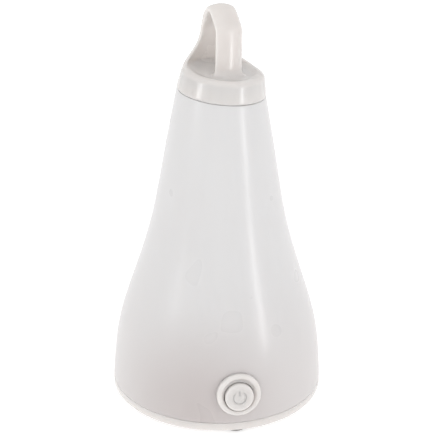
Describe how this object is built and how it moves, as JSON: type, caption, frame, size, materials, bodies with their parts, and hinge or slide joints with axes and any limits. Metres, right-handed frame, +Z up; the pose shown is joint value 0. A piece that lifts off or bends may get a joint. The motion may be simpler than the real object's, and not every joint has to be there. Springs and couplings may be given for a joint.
{
  "type": "cool mist humidifier",
  "caption": "Bell-shaped ultrasonic humidifier: milky tank over a round base, slanted neck, screw cap with a carrying loop and mist outlet, round front button.",
  "frame": {"origin": "centre of the round base, on the table", "axes": "+Z up, -Y towards the power button, +X to the right of somebody who faces the button"},
  "size_m": [0.15, 0.1535, 0.2818],
  "materials": {
    "milky": "milky translucent polypropylene with a soft sheen",
    "gloss_white": "opaque white, soft gloss",
    "inner_white": "plain moulded",
    "silicone": "pale silicone rubber",
    "rubber": "grey moulded rubber",
    "steel": "bright zinc-plated",
    "brass": "electrode plated on a ceramic disc",
    "black_plastic": "black moulded",
    "board_green": "green solder mask on glass-fibre board",
    "copper": "enamelled copper winding",
    "aluminium": "as extruded",
    "cable_grey": "grey sheath",
    "lens_white": "clear to milky lamp lens"
  },
  "bodies": {
    "base": {"bell_shell": "milky", "neck_collar": "inner_white", "tank_floor": "inner_white", "hood_seal": "silicone", "mist_hood": "inner_white", "mist_chimney": "inner_white", "transducer_seal": "silicone", "transducer_disc": "brass", "transducer_retainer": "inner_white", "retainer_screw_1": "steel", "retainer_screw_2": "steel", "retainer_screw_3": "steel", "float_cage": "inner_white", "valve_cup": "inner_white", "fan_frame": "black_plastic", "air_duct": "inner_white", "fan_screw_1": "steel", "fan_screw_2": "steel", "base_plate": "gloss_white", "foot_1": "rubber", "foot_2": "rubber", "foot_3": "rubber", "foot_4": "rubber", "base_screw_1": "steel", "base_screw_2": "steel", "base_screw_3": "steel", "base_screw_4": "steel", "driver_board": "board_green", "board_screw_1": "steel", "board_screw_2": "steel", "heat_sink": "aluminium", "coil": "copper", "capacitor": "black_plastic", "fan_connector": "inner_white", "disc_connector": "inner_white", "dc_jack": "black_plastic", "jack_pin": "steel", "button_bezel": "gloss_white", "switch_body": "black_plastic", "switch_board": "board_green", "pilot_lamp": "lens_white", "disc_lead": "cable_grey", "fan_lead": "cable_grey"},
    "seal": {"cap_seal": "silicone"},
    "cap": {"cap_handle": "gloss_white", "cap_liner": "inner_white", "mist_nozzle": "gloss_white"},
    "button": {"power_button": "gloss_white"},
    "plunger": {"switch_plunger": "black_plastic"},
    "rotor": {"fan_rotor": "black_plastic", "fan_shaft": "steel"},
    "float": {"float_body": "inner_white", "valve_seal": "silicone", "valve_clip": "steel"}
  },
  "joints": [
    {"name": "cap_rise", "type": "slide", "parent": "base", "child": "seal", "axis": [0.0887, -0.0188, 0.9959], "range_m": [0, 0.008]},
    {"name": "cap_turn", "type": "hinge", "parent": "seal", "child": "cap", "pos_m": [0.00051, -0.00011, 0.22475], "axis": [0.0887, -0.0188, 0.9959], "range_deg": [0, 720]},
    {"name": "button_press", "type": "slide", "parent": "base", "child": "button", "axis": [0, 0.9953, -0.0965], "range_m": [0, 0.0012], "stiffness_N_per_m": 400},
    {"name": "plunger_press", "type": "slide", "parent": "base", "child": "plunger", "axis": [0, 0.9953, -0.0965], "range_m": [0, 0.0012]},
    {"name": "fan_spin", "type": "hinge", "parent": "base", "child": "rotor", "pos_m": [0.027, 0, 0.0235], "axis": [0, 0, 1], "continuous": true},
    {"name": "float_lift", "type": "slide", "parent": "base", "child": "float", "axis": [0, 0, 1], "range_m": [0, 0.005]}
  ],
  "couplings": [
    {"joint": "cap_turn", "follows": "cap_rise", "rad_per_m": 1570.8},
    {"joint": "plunger_press", "follows": "button_press", "ratio": 1}
  ]
}
